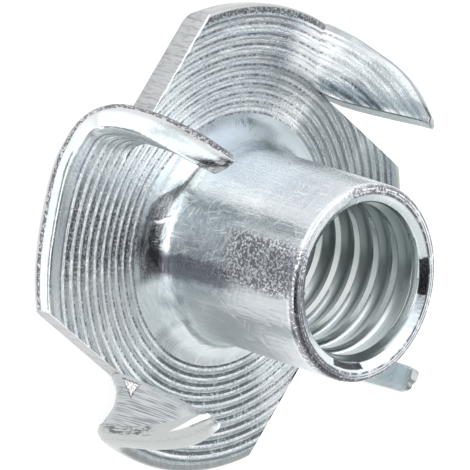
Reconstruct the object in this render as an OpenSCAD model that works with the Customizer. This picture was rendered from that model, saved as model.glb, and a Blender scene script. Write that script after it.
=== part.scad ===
// Four-prong tee nut: one sheet-steel stamping.
// The sheet is drawn up into a threaded barrel, and four prongs are sheared
// out of the round flange and folded up towards the barrel's mouth.
// Millimetres. The flange's back face lies on Z = 0, the barrel axis is +Z.

/* [Sheet and flange] */
// Thickness of the steel sheet
sheet_t = 1.4; // [1.2:0.1:1.6]
// Diameter of the round flange
flange_d = 22.2; // [21.2:0.2:24]
// Rounding of the rim on the barrel side
rim_front_r = 0.2; // [0.1:0.1:0.4]
// Rounding of the rim on the back
rim_back_r = 0.5; // [0.2:0.1:0.8]

/* [Barrel] */
// Outside diameter of the barrel
barrel_d = 9.1; // [9:0.1:9.6]
// Overall height, from the back face to the barrel's mouth
height = 10.4; // [9.4:0.2:13]
// Radius of the fillet where the barrel rises from the flange
foot_r = 1.4; // [0.9:0.1:1.6]
// Rounding of the mouth's outer edge
lip_r = 0.25; // [0.1:0.05:0.3]

/* [Thread] */
// Diameter of the bore at the crests of the M8 x 1.25 thread
crest_d = 6.9; // [6.7:0.05:6.9]
// Radial width of the chamfer inside the mouth
mouth_chamfer = 0.55; // [0.3:0.05:0.6]
// Depth of the chamfer inside the mouth
mouth_chamfer_h = 0.3; // [0.2:0.05:0.9]

/* [Prongs] */
// Distance from the axis to each straight shear line
shear_x = 8.2; // [7.8:0.1:8.6]
// Where each fold starts, measured along the shear line from its middle
fold_start = 1; // [0.6:0.1:1.6]
// Inside radius of the fold
fold_r = 0.9; // [0.7:0.1:1.3]
// Radius of the curved outer edge of a prong's blade
blade_arc_r = 8; // [7:0.5:10]
// Width left at the tip of a prong
tip_w = 0.5; // [0.4:0.1:0.9]

/* [Press rings] */
// Number of concentric press-tool grooves on the flange's barrel side
ring_count = 9; // [4:1:10]
// Spacing of the grooves
ring_pitch = 0.46; // [0.36:0.02:0.46]
// Depth of each groove
ring_depth = 0.04; // [0.02:0.01:0.06]

/* [Hidden] */
flange_r = flange_d / 2;
barrel_r = barrel_d / 2;
crest_r = crest_d / 2;
// Centre of the drawing radius, shared by the front fillet and the back entry
draw_x = barrel_r + foot_r;
draw_z = sheet_t + foot_r;
entry_r = foot_r + sheet_t;
// Angle at which the entry radius runs out into the bore
entry_a = 180 + acos(min(1, (draw_x - crest_r) / entry_r));
// Outer edge of the fold, a hair inside the round rim where the fold starts
prong_x = floor(sqrt(pow(flange_r, 2) - pow(fold_start, 2)) * 100 - 2) / 100;
// Height of the fold's axis, where the straight blade begins
fold_z = sheet_t + fold_r;
// Centre of the blade's curved outer edge
blade_cx = prong_x - blade_arc_r;
// Length of the blade above the fold
blade_h = um(sqrt(pow(blade_arc_r, 2) - pow(shear_x + tip_w - blade_cx, 2)));
// First ring, counted from the rim inwards
ring_outer = flange_r - rim_front_r - 0.8;

// Length rounded to a micron, so that faces that meet do so exactly
function um(v) = round(v * 1000) / 1000;

// Points of an arc about (cx, cz), from angle a0 to a1
function arc_pts(cx, cz, r, a0, a1, n = 6) =
    [for (i = [0:n]) let (a = a0 + (a1 - a0) * i / n)
        [um(cx) + um(r * cos(a)), um(cz) + um(r * sin(a))]];

// The ring grooves as points of the flange's barrel side, from the axis outwards.
// A ring that would run into the barrel's fillet is left out.
function ring_pts() =
    [for (i = [ring_count - 1:-1:0], j = [-1:1])
        if (ring_outer - (i + 0.4) * ring_pitch > draw_x)
        [um(ring_outer - i * ring_pitch + j * ring_pitch * 0.27),
         sheet_t - (j == 0 ? ring_depth : 0)]];

// Half section of the flange and the drawn barrel
module section() {
    polygon(concat(
        [[crest_r, height - mouth_chamfer_h],
         [crest_r, draw_z + entry_r * sin(entry_a)]],
        [for (p = arc_pts(draw_x, draw_z, entry_r, entry_a, 270, 8)) if (p[0] > crest_r + 0.01) p],
        arc_pts(flange_r - rim_back_r, rim_back_r, rim_back_r, 270, 360),
        arc_pts(flange_r - rim_front_r, sheet_t - rim_front_r, rim_front_r, 0, 90, 4),
        [for (i = [len(ring_pts()) - 1:-1:0]) ring_pts()[i]],
        arc_pts(draw_x, draw_z, foot_r, 270, 180),
        arc_pts(barrel_r - lip_r, height - lip_r, lip_r, 0, 90, 4),
        [[crest_r + mouth_chamfer, height]]
    ));
}

// What is sheared away from the flat flange for one prong
module shear_gap() {
    translate([shear_x, -flange_r, -1])
        cube([flange_r, flange_r + fold_start, sheet_t + 2]);
}

// One prong: the fold, and the straight blade that stands up from it.
// Both keep the rounded rim of the flange along their outer edge.
module prong() {
    // fold, a quarter turn about an axis along X
    translate([0, fold_start, fold_z])
        rotate([180, 90, 0])
            rotate_extrude(angle = 90, $fn = 96)
                polygon(concat(
                    [[fold_r, -shear_x], [fold_r, -prong_x + rim_front_r]],
                    arc_pts(fold_r + rim_front_r, -prong_x + rim_front_r, rim_front_r, 180, 270, 4),
                    arc_pts(fold_r + sheet_t - rim_back_r, -prong_x + rim_back_r, rim_back_r, 270, 360),
                    [[fold_r + sheet_t, -shear_x]]
                ));
    // blade, a segment of a round-rimmed disc standing on edge
    intersection() {
        translate([blade_cx, fold_start - fold_r - sheet_t, fold_z])
            rotate([-90, 0, 0])
                rotate_extrude($fn = 180)
                    polygon(concat(
                        [[0, sheet_t], [0, 0]],
                        arc_pts(blade_arc_r - rim_back_r, rim_back_r, rim_back_r, 270, 360),
                        arc_pts(blade_arc_r - rim_front_r, sheet_t - rim_front_r, rim_front_r, 0, 90, 4)
                    ));
        translate([shear_x, -flange_r, fold_z])
            cube([flange_r, flange_r * 2, blade_h]);
    }
}

module tee_nut() {
    color([0.78, 0.82, 0.85]) {
        difference() {
            rotate_extrude($fn = 180) section();
            for (k = [0:3]) rotate([0, 0, 90 * k]) shear_gap();
        }
        for (k = [0:3]) rotate([0, 0, 90 * k]) prong();
    }
}

tee_nut();
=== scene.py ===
import math

import bpy
import numpy as np
from mathutils import Matrix, Vector


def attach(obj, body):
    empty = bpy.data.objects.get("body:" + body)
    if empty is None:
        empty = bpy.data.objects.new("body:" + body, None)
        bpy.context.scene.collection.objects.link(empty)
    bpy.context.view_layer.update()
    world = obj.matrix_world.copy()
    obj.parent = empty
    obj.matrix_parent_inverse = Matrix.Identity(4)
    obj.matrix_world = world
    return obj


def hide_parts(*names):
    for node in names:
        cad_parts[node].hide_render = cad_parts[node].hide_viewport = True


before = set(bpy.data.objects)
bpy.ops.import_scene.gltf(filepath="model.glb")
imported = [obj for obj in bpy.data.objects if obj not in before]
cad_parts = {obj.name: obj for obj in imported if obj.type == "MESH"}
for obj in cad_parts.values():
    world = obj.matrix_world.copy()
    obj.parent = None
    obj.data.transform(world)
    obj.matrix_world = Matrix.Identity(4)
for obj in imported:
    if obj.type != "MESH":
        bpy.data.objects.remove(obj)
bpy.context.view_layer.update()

# ---------------------------------------------------------------- dimensions, in millimetres
SHEET, RIM_R, SHEAR_X = 1.4, 11.0, 8.2
BARREL_R, HEIGHT, CREST_R, FOOT_R = 4.55, 10.4, 3.45, 1.4
RIM_FRONT, RIM_BACK = 0.4, 0.7
V_REF = 1.2


def smooth_interp(knots, values, x):
    """Catmull-Rom through the knots, flat before the first and straight on after the last."""
    k = np.asarray(knots, float)
    f = np.asarray(values, float)
    m = np.gradient(f, k)
    m[0] = 0.0
    x = np.asarray(x, float)
    i = np.clip(np.searchsorted(k, x, side="right") - 1, 0, len(k) - 2)
    h = k[i + 1] - k[i]
    s = np.clip((x - k[i]) / h, 0.0, 1.0)
    h00 = (1 + 2 * s) * (1 - s) ** 2
    h10 = s * (1 - s) ** 2
    h01 = s * s * (3 - 2 * s)
    h11 = s * s * (s - 1)
    out = h00 * f[i] + h10 * h * m[i] + h01 * f[i + 1] + h11 * h * m[i + 1]
    return np.where(x > k[-1], f[-1], out)


A_KNOTS = (0.0, 0.8, 1.6, 2.6, 4.0, 6.0, 8.4)
B_KNOTS = (0.0, 2.0, 4.0, 6.0, 8.4)


def prong_curve(par):
    """Centre line of a prong with its width and thickness directions, sampled along its developed length.
    Local axes: x outwards along the shear line's normal, y along the shear line towards the tip, z up."""
    n = 421
    s = np.linspace(0.0, 8.4, n)
    al = np.radians(smooth_interp(A_KNOTS, par["alpha"], s))
    be = np.radians(smooth_interp(B_KNOTS, par["beta"], s))
    ta = np.radians(smooth_interp(B_KNOTS, par["tau"], s))
    T = np.stack([np.sin(be), np.cos(be) * np.cos(al), np.cos(be) * np.sin(al)], 1)
    N0 = np.stack([np.zeros(n), -np.sin(al), np.cos(al)], 1)
    U = np.cross(T, N0)
    U /= np.linalg.norm(U, axis=1)[:, None]
    N = np.cross(U, T)
    c, d = np.cos(ta)[:, None], np.sin(ta)[:, None]
    U, N = U * c + N * d, N * c - U * d
    stretch = par.get("stretch", 1.0)
    C = np.zeros((n, 3))
    step = (s[1] - s[0]) * 0.5 * (T[1:] + T[:-1])
    g = 1 + (stretch - 1) * np.clip((s[1:] - 1.0) / 2.0, 0, 1)
    C[1:] = np.cumsum(step * g[:, None], 0)
    return s, C, U, N


def prong_map(par, curve, x, y, w):
    """Where a point of the flat sheet lies once its prong is folded. x, y: place in the prong's own flat axes, w: height in the sheet."""
    s, C, U, N = curve
    v = x - SHEAR_X
    tip = np.clip(y / 7.3, 0.0, 1.0)
    # the shear rolled the front edge over
    w = w * (1 - par.get("roll", 0.0) * np.exp(-((np.clip(v, 0, None) / 0.45) ** 2)) * np.clip(0.5 + y, 0, 1))
    y = y - par.get("chisel", 0.0) * (w / SHEET) * tip ** 4
    grow = np.clip(v / 2.8, 0.0, 1.0)
    v = v + par.get("bulge", 0.0) * np.exp(-(((y - par.get("bulge_y", -1.5)) / 1.8) ** 2)) * grow * grow
    q = np.clip(v / 2.4, 0.0, 1.0)
    l0 = par["start"] + (par["start_rim"] - par["start"]) * (q * q * (3 - 2 * q))
    le = y - l0
    a = np.clip(le, 0.0, 8.4)
    width = smooth_interp(B_KNOTS, par.get("width", (1,) * 5), a)
    thick = smooth_interp(B_KNOTS, par.get("thick", (1,) * 5), a)

    def at(F):
        return np.stack([np.interp(a, s, F[:, i]) for i in range(3)], -1)

    c, u, n = at(C), at(U), at(N)
    vv = (v - V_REF) * width
    ww = (w - SHEET / 2) * thick
    P = c + vv[..., None] * u + ww[..., None] * n
    for depth, vc, vw, ac, aw in par.get("dish", ()):
        P = P + (depth * np.exp(-(((v - vc) / vw) ** 2) - ((le - ac) / aw) ** 2))[..., None] * n
    P[..., 0] += SHEAR_X + V_REF
    P[..., 1] += l0 + np.minimum(le, 0.0)
    P[..., 2] += SHEET / 2
    return P


TIP_HALF = 0.5 * math.atan2(math.sqrt(RIM_R ** 2 - SHEAR_X ** 2), SHEAR_X)
TIP_LEN = 1.4


def round_tip(rho, rim, x, y):
    """The sharp corner between the shear line and the rim, worn round with radius rho."""
    TIP_Y = math.sqrt(rim ** 2 - SHEAR_X ** 2) + 0.002
    dx, dy = x - SHEAR_X, np.minimum(y - TIP_Y, 0.0)
    u = np.hypot(dx, dy)
    psi = np.clip(np.arctan2(dx, -dy) - TIP_HALF, -TIP_HALF, TIP_HALF)
    far = rho / math.sin(TIP_HALF)
    arc = far * np.cos(psi) - np.sqrt(np.clip(rho ** 2 - (far * np.sin(psi)) ** 2, 0, None))
    to = np.where(u < TIP_LEN, arc + u * (1 - arc / TIP_LEN), u)
    g = np.arctan2(dx, -dy)
    g = np.where(u < 1e-6, TIP_HALF, g)
    return np.where(u < TIP_LEN, SHEAR_X + to * np.sin(g), x), np.where(u < TIP_LEN, TIP_Y - to * np.cos(g), y)


def turned(P, k):
    """Local prong axes (x out, y towards the tip, clockwise) to the part's frame, for the prong at k quarter turns."""
    c, s = (1, 0, -1, 0)[k], (0, 1, 0, -1)[k]
    x, y = P[..., 0], -P[..., 1]
    return np.stack([x * c - y * s, x * s + y * c, P[..., 2]], -1)

# ---------------------------------------------------------------- the four prongs, each bent a little differently
PRONGS = {
    0: dict(alpha=(0, 48, 56, 72, 89, 84, 88), beta=(0, 3.6, 0.8, 4.7, -7.0), tau=(0, 0, 0, 0, 0), start=-0.55, start_rim=-1.6,
            stretch=1.03, width=(1, 1, 0.9, 0.88, 0.86), thick=(1, 1, 0.98, 0.95, 0.9), trim=0.0, chisel=0.0, bulge=0.0, bulge_y=-1.5, round=0.12, roll=0.35),
    1: dict(alpha=(0, 22, 55, 86, 89, 101, 91), beta=(0, -0.1, 1.0, -2.2, -0.3), tau=(0, 6.5, 1.3, 0.7, -6.4), start=-0.67, start_rim=-1.0,
            stretch=1.05, width=(1, 1, 1.1, 0.99, 0.89), thick=(1, 1, 0.97, 0.94, 0.94), trim=0.06, chisel=0.98, bulge=0.3, bulge_y=-2.6, round=0.07, roll=0.1),
    2: dict(alpha=(0, 22, 52, 88, 90, 90, 90), beta=(0, 0, 0, 0, 0), tau=(0, 0, 0, 0, 0), start=-0.52, start_rim=-1.12,
            stretch=1.15, width=(1, 1, 0.91, 0.73, 0.54), thick=(1, 1, 1.05, 1.1, 1.1), trim=0.13, chisel=0.86, bulge=0.0, bulge_y=-1.5, round=0.1,
            dish=((0.42, 1.1, 0.95, 1.1, 1.5), (-0.34, 0.0, 0.34, 0.8, 1.2))),
    3: dict(alpha=(0, 24, 54, 86, 90, 92, 90), beta=(0, 0, 0, 0, 0), tau=(0, 2, 2, 2, 2), start=-0.5, start_rim=-1.0,
            stretch=1.23, width=(1, 1, 1, 0.95, 0.9), thick=(1, 1, 1, 0.93, 0.84), trim=0.1, chisel=0.5, bulge=0.0, bulge_y=-1.5, round=0.2),
}
CURVES = {k: prong_curve(p) for k, p in PRONGS.items()}

# ---------------------------------------------------------------- press rings: where each groove lies on the barrel side
GROOVES = (5.97, 6.46, 6.88, 7.31, 7.70, 8.20, 8.64, 9.14, 9.62, 10.11)
GROOVE_DEPTH = 0.040


def wander(theta, seed, scale=1.0):
    """A smooth closed curve around the axis, for rings and edges that aren't quite true."""
    return scale * sum(math.sin(seed * 1.7 + i * 2.3) * np.cos(i * theta + seed * (0.9 + 0.37 * i)) / (i ** 0.8) for i in range(1, 7)) / 2.2


def lobe_depth(theta):
    """The press lines are struck harder on some lobes than on others."""
    out = 1.0
    for deg, gain in ((24, -0.35), (114, 0.45), (204, 0.25), (294, 0.2)):
        out = out + gain * np.exp(-(((1 - np.cos(theta - math.radians(deg))) / 0.12) ** 1.5))
    return out


def ring_drop(r, theta):
    """How far the barrel side of the flange is pressed in at this radius."""
    d = np.zeros(np.broadcast(r, theta).shape)
    for i, g in enumerate(GROOVES):
        c = g + wander(theta, i + 1.0, 0.012)
        deep = GROOVE_DEPTH * (1 + 0.30 * wander(theta, i + 20.0)) * (0.9 + 0.2 * math.sin(i * 2.1 + 0.4)) * lobe_depth(theta)
        # a rolled wave: a long inner wall, a steeper outer wall
        x = np.where(r < c, (c - r) / 0.25, (r - c) / 0.19)
        d += deep * (0.5 + 0.5 * np.cos(math.pi * np.clip(x, 0, 1)))
        x = (r - c + 0.215) / 0.055
        d += 0.3 * deep * np.clip(1 - np.abs(x), 0, 1)
    return d * np.clip((r - 5.95) / 0.12, 0, 1)


RINGS = [5.95, 6.0, 6.06]
for g in GROOVES:
    RINGS += [g - 0.27, g - 0.215, g - 0.16, g - 0.12, g - 0.055, g, g + 0.05, g + 0.10, g + 0.15]
RINGS = sorted(set(round(v, 3) for v in RINGS if v >= 5.95))
RINGS = [v for i, v in enumerate(RINGS) if i == 0 or v - RINGS[i - 1] > 0.03]
INNER = [v for v in RINGS if v < 8.17] + [SHEAR_X]
OUTER = [SHEAR_X + d for d in (0.0012, 0.005, 0.012, 0.022, 0.036, 0.055, 0.08)] + [v for v in RINGS if v > 8.30] + [10.38, 10.52]
KEEP = sorted(set(list(range(1, 8, 2)) + list(range(9, len(OUTER), 5)) + [len(OUTER) - 1]))  # rings that the back face keeps
NT = 80
NC = 4 * NT


RIM_MAX = 11.2


def rim_radius(theta):
    out = RIM_R + 0.09 * np.cos(theta - math.radians(115)) + wander(theta, 3.3, 0.02)
    return out + np.where(theta > math.pi, 0.22, 0.0) * np.exp(-(((1 - np.cos(theta - math.radians(310))) / 0.03) ** 1.2))


# Section of the rim, from the barrel side to the back: (inset from the rim's radius, height)
RIM_SECTION = (
    (0.34, 1.400), (0.20, 1.398), (0.10, 1.385), (0.035, 1.345), (0.0, 1.27), (0.0, 1.10), (0.012, 0.90), (0.03, 0.74), (0.075, 0.64),
    (0.10, 0.54), (0.10, 0.44), (0.13, 0.31), (0.19, 0.19), (0.28, 0.09), (0.40, 0.025), (0.55, 0.0),
)


class Builder:
    def __init__(self):
        self.v, self.f, self.n, self.tag, self.ends, self.lay = [], [], 0, [], {}, []

    def add(self, P, lay=None):
        """Points, and where each of them lay in the flat sheet before the prongs were folded."""
        P = np.asarray(P, float)
        self.lay.append(np.asarray(P if lay is None else lay, float).reshape(-1, 3))
        idx = np.arange(self.n, self.n + P[..., 0].size).reshape(P.shape[:-1])
        self.v.append(P.reshape(-1, 3))
        self.n += idx.size
        return idx

    def quads(self, I, flip=False, tag=0):
        a, b, c, d = I[:-1, :-1], I[1:, :-1], I[1:, 1:], I[:-1, 1:]
        q = np.stack([a, b, c, d] if not flip else [a, d, c, b], -1).reshape(-1, 4)
        for face in q.tolist():
            g = []
            for i in face:
                if i not in g:
                    g.append(i)
            if len(g) > 2:
                self.f.append(g)
                self.tag.append(tag)


def polar(r, theta, z):
    return np.stack(np.broadcast_arrays(r * np.cos(theta), r * np.sin(theta), z), -1)


def phi(r):
    return np.arccos(np.clip(SHEAR_X / np.maximum(r, SHEAR_X), -1, 1))


def edge_roll(k, y, v, w):
    """Returns the height in the sheet unchanged; the rolling of the sheared edge over its inner side, most of all at
    the root of the fold, is not made here.
    """
    return w


def tip_rim(k):
    return min(float(rim_radius(k * math.pi / 2 - 0.7297)), RIM_MAX)


def arm_point(k, X, Y, W):
    """A point of arm k of the flat sheet (x out, y towards the prong's tip) as it lies in the finished nut."""
    P = prong_map(PRONGS[k], CURVES[k], *round_tip(PRONGS[k]["round"], tip_rim(k), X, Y), W)
    flat = np.stack(np.broadcast_arrays(X, Y, W), -1).astype(float)
    P[..., 2] = np.maximum(P[..., 2], 0.0)  # nothing hangs below the flange's back
    near = (Y > -6.0) & (X > SHEAR_X - 1e-9)
    return turned(np.where(near[..., None], P, flat), k), turned(flat, k)


def arm_xy(r, t):
    """Place in arm axes of the grid column t (0 at the prong's sheared edge, 1 at the lobe's cut face)."""
    th = -phi(r) + t * math.pi / 2
    return r * np.cos(th), -r * np.sin(th), th


def build_nut():
    B = Builder()
    t = np.arange(NT + 1) / NT
    full = np.arange(NC + 1) / NC * 2 * math.pi

    # ---- inner, whole part of the flange: barrel side and back
    r = np.array(INNER)[:, None]
    th = full[None, :-1]
    front = B.add(polar(r, th, SHEET - ring_drop(r, th)))
    front = np.concatenate([front, front[:, :1]], 1)
    B.quads(front, tag=1)
    back_r = np.array([6.85, 7.4, 7.9, SHEAR_X])[:, None]
    back = B.add(polar(back_r, th, 0.0 * th))
    back = np.concatenate([back, back[:, :1]], 1)
    B.quads(back, flip=True, tag=2)

    # ---- the four arms: a lobe of the flange and the prong folded up from it
    for k in range(4):
        c0 = k * NT
        theta0 = k * math.pi / 2
        ro = np.array(OUTER)[:, None]
        grids = {}
        for side in ("front", "back"):
            first = (front if side == "front" else back)[-1, c0:c0 + NT + 1]
            x, y, a = arm_xy(ro, t[None, :])
            if side == "front":
                body = B.add(*arm_point(k, x, y, SHEET - ring_drop(ro, a + theta0)))
            else:
                body = B.add(*arm_point(k, x[KEEP], y[KEEP], np.zeros_like(x[KEEP])))
            grids[side] = (first, body)
        # rim section, columns as the outermost ring
        rows = []
        for inset, h in RIM_SECTION:
            a = -phi(RIM_R) + t[None, :] * math.pi / 2
            for _ in range(2):
                rad = np.minimum(rim_radius(a + theta0), RIM_MAX) - inset
                a = -phi(rad) + t[None, :] * math.pi / 2
            xx, yy = rad * np.cos(a), -rad * np.sin(a)
            rows.append(arm_point(k, xx, yy, np.full_like(xx, h)))
        rim = B.add(*(np.concatenate(c, 0) for c in zip(*rows)))
        f_first, f_body = grids["front"]
        b_first, b_body = grids["back"]
        F = np.concatenate([f_first[None], f_body, rim[:1]], 0)
        B.quads(F, tag=1)
        B.quads(rim, tag=3)
        K = np.concatenate([b_first[None], b_body, rim[-1:]], 0)
        B.quads(K, flip=True, tag=2)
        # ---- walls of the slit: the prong's sheared edge (column 0) and the lobe's cut face (last column)
        for col in (0, NT):
            top = F[:, col]
            bot = K[:, col]
            # levels across the sheet between the two faces; their last row is the rim section
            hs = [h for _, h in RIM_SECTION[1:-1]]
            levels = []
            P = np.array([None])
            rr = np.array([SHEAR_X] + OUTER)
            x, y, a = arm_xy(rr, np.full_like(rr, t[col]))
            x = np.maximum(x, SHEAR_X) if col == 0 else x
            wall = []
            for h in hs:
                wall.append(arm_point(k, x[1:], y[1:], np.full_like(x[1:], h)))
            W = B.add(*(np.stack(c, 0) for c in zip(*wall)))  # (levels, rings)
            closing = rim[1:-1, col]
            grid = np.concatenate([top[None, 1:], np.concatenate([W, closing[:, None]], 1)], 0)
            B.quads(grid, flip=(col == 0), tag=4)
            # last strip, down to the back face's fewer rings
            stops = KEEP + [len(OUTER)]
            low = grid[-1]
            prev = None
            for j, stop in enumerate(stops):
                if j:
                    poly = low[stops[j - 1]:stop + 1].tolist() + [int(bot[1 + j]), int(bot[j])]
                    B.f.append(poly if col == NT else poly[::-1])
                    B.tag.append(4)
            # from the slit's blind end to the first ring that the back keeps
            first = low[:stops[0] + 1].tolist()
            B.ends[(k, col)] = (int(top[0]), grid[:, 0].tolist(), first, int(bot[1]), int(bot[0]))
    # close the slit's blind end: both walls run into one line of points down through the sheet
    for k in range(4):
        a1, g1, f1, c1, b1 = B.ends[(k, 0)]
        a2, g2, f2, c2, b2 = B.ends[((k - 1) % 4, NT)]
        P = np.concatenate(B.v, 0)
        n = len(g1)
        line = [a1] + B.add(np.array([P[a1] + (P[b1] - P[a1]) * j / n for j in range(1, n)])).tolist()
        for j in range(n - 1):
            B.f.append([line[j], g1[j], g1[j + 1], line[j + 1]][::-1])
            B.f.append([line[j], g2[j], g2[j + 1], line[j + 1]])
            B.tag += [4, 4]
        B.f.append(([line[-1]] + f1 + [c1, b1])[::-1])
        B.f.append([line[-1]] + f2 + [c2, b1])
        B.tag += [4, 4]

    # ---- barrel: fillet, wall, lip and chamfer down to the thread
    def barrel_out(z, th):
        return BARREL_R + 0.012 * wander(th, 5.1) * np.clip((z - 2.5) / 3, 0, 1)

    rows = []
    n = 14
    for i in range(1, n + 1):
        a = math.radians(90.0 * i / n)
        rows.append((BARREL_R + FOOT_R * (1 - math.sin(a)), SHEET + FOOT_R * (1 - math.cos(a))))
    for z in np.linspace(SHEET + FOOT_R, HEIGHT - 0.3, 14)[1:]:
        rows.append((BARREL_R, float(z)))
    lip = [(0.0, -0.24), (0.015, -0.16), (0.05, -0.085), (0.11, -0.03), (0.18, -0.006), (0.26, 0.0), (0.38, 0.0), (0.46, -0.006), (0.52, -0.03), (0.57, -0.06)]
    rows += [(BARREL_R - d, HEIGHT + h) for d, h in lip]
    rows += [(BARREL_R - 0.64, HEIGHT - 0.10), (BARREL_R - 0.72, HEIGHT - 0.145), (BARREL_R - 0.80, HEIGHT - 0.19), (BARREL_R - 0.87, HEIGHT - 0.235)]
    P = []
    for rr, z in rows:
        P.append(mouth_skew(polar(np.full(NC, rr), full[:-1], np.full(NC, z))))
    bar = B.add(np.stack(P, 0))
    bar = np.concatenate([bar, bar[:, :1]], 1)
    B.quads(np.concatenate([front[:1], bar], 0), flip=True, tag=5)

    # ---- threaded bore
    pitch, per = 1.25, 12
    prof = thread_profile(per)
    z_top, z_bot = rows[-1][1], 1.54
    r_top = rows[-1][0]
    cols = NC
    lo = int(math.floor(z_bot / pitch)) - 2
    hi = int(math.ceil(z_top / pitch)) + 2
    nrow = (hi - lo) * per
    ids = {}
    grid_z = np.zeros((nrow + 1, cols + 1))
    for j in range(cols + 1):
        grid_z[:, j] = (lo + np.arange(nrow + 1) / per + j / cols + THREAD_TURN) * pitch
    k_idx = np.arange(nrow + 1)
    depth = np.array([prof[i % per] for i in range(nrow + 1)])[:, None] * np.ones((1, cols + 1))
    th = full[None, :]
    rad = CREST_R + depth * (1 + 0.03 * wander(th, 8.0))
    # the thread runs out into the chamfer at the mouth and into the drawn entry at the back
    cham = r_top - (z_top - grid_z) * 0.36
    rad = np.maximum(rad, cham)
    clampz = np.clip(grid_z, z_bot, z_top)
    rad = np.where(grid_z >= z_top, r_top, rad)
    ent = 1.45
    entry = CREST_R + 0.02 + np.clip(2.3 - grid_z, 0, None) ** 2 * 0.16
    run = np.clip((grid_z - 1.9) / 0.9, 0, 1)
    rad = np.where(grid_z < 2.8, CREST_R + (rad - CREST_R) * run, rad)
    rad = np.where(grid_z <= z_bot, CREST_R, rad)
    bore = np.zeros((nrow + 1, cols + 1), int)
    top_id = [int(v) for v in bar[-1]]
    low = B.add(polar(np.full(cols, CREST_R), full[:-1], np.full(cols, z_bot)))
    low = np.concatenate([low, low[:1]])
    inside = (grid_z > z_bot + 1e-6) & (grid_z < z_top - 1e-6)
    pts = mouth_skew(polar(rad, np.broadcast_to(th, rad.shape), clampz))
    for j in range(cols):
        for i in range(nrow + 1):
            if inside[i, j]:
                pass
    sel = inside[:, :cols]
    flatidx = B.add(pts[:, :cols][sel], polar(rad, np.broadcast_to(th, rad.shape), clampz)[:, :cols][sel])
    bore[:, :cols][sel] = flatidx
    up = grid_z >= z_top - 1e-6
    dn = grid_z <= z_bot + 1e-6
    for j in range(cols + 1):
        bore[up[:, j], j] = top_id[j % cols] if j < cols else top_id[0]
        bore[dn[:, j], j] = low[j]
    # the last column is the first one, one turn further up
    last = bore[:, cols]
    m = inside[:, cols]
    rows_i = np.nonzero(m)[0]
    for i in rows_i:
        last[i] = bore[i + per, 0]
    keep = ~((up[:-1, :-1] & up[1:, :-1] & up[:-1, 1:] & up[1:, 1:]) | (dn[:-1, :-1] & dn[1:, :-1] & dn[:-1, 1:] & dn[1:, 1:]))
    a, b, c, d = bore[:-1, :-1], bore[1:, :-1], bore[1:, 1:], bore[:-1, 1:]
    q = np.stack([a, b, c, d], -1)[keep]
    for face in q.tolist():
        g = []
        for i in face:
            if i not in g:
                g.append(i)
        if len(g) > 2:
            B.f.append(g)
            B.tag.append(6)

    # ---- drawn entry at the back: from the bore out to the flat back
    er = FOOT_R + SHEET
    dx, dz = BARREL_R + FOOT_R, SHEET + FOOT_R
    a0 = 180 + math.degrees(math.acos((dx - CREST_R) / er))
    rows = []
    for i in range(1, 13):
        a = math.radians(a0 + (270 - a0) * i / 13)
        rows.append(polar(np.full(NC, dx + er * math.cos(a)), full[:-1], np.full(NC, dz + er * math.sin(a))))
    rows.append(polar(np.full(NC, dx), full[:-1], np.full(NC, 0.0)))
    rows.append(polar(np.full(NC, 6.4), full[:-1], np.full(NC, 0.0)))
    ent = B.add(np.stack(rows, 0))
    ent = np.concatenate([ent, ent[:, :1]], 1)
    B.quads(np.concatenate([low[None], ent, back[:1]], 0), flip=True, tag=2)
    return np.concatenate(B.v, 0), B.f, B.tag, np.concatenate(B.lay, 0)


def thread_profile(per):
    """Depth below the crest at equal steps of one pitch: flat crest, 60 degree flanks, rounded root."""
    out = []
    for i in range(per):
        s = i / per
        d = abs(s - 0.5) * 2  # 1 at the crest's middle, 0 at the root's middle
        out.append(0.52 * (1 - min(1.0, max(0.0, (d - 0.12) / 0.50))))
    return out


def mouth_skew(P):
    """The drawn barrel's mouth isn't quite square to its axis."""
    P = np.array(P, float)
    h = np.clip((P[..., 2] - 3.0) / (HEIGHT - 3.0), 0, 1)
    lean = MOUTH_TILT[0] * P[..., 0] + MOUTH_TILT[1] * P[..., 1]
    P[..., 2] += (lean - MOUTH_DROP) * h
    return P


MOUTH_TILT = (-0.055, -0.030)
MOUTH_DROP = 0.10
THREAD_TURN = 0.205


def groove_place(lay):
    """Place between the press rings: a whole number on each groove, counted outwards."""
    r = np.hypot(lay[:, 0], lay[:, 1])
    th = np.arctan2(lay[:, 1], lay[:, 0])
    c = np.stack([g + wander(th, i + 1.0, 0.012) for i, g in enumerate(GROOVES)], 1)
    i = np.clip((r[:, None] > c).sum(1) - 1, 0, len(GROOVES) - 2)
    n = np.arange(len(r))
    return i + (r - c[n, i]) / (c[n, i + 1] - c[n, i])


def mesh_object(name, verts, faces, tags, lay):
    me = bpy.data.meshes.new(name)
    me.from_pydata((np.asarray(verts) * 0.001).tolist(), [], faces)
    me.update()
    at = me.attributes.new("zone", "INT", "FACE")
    at.data.foreach_set("value", np.asarray(tags, np.int32))
    at = me.attributes.new("lay", "FLOAT_VECTOR", "POINT")
    at.data.foreach_set("vector", np.asarray(lay, np.float32).reshape(-1))
    at = me.attributes.new("groove", "FLOAT", "POINT")
    at.data.foreach_set("value", np.asarray(groove_place(lay), np.float32))
    me.polygons.foreach_set("use_smooth", [True] * len(me.polygons))
    ob = bpy.data.objects.new(name, me)
    bpy.context.scene.collection.objects.link(ob)
    return ob

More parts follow.
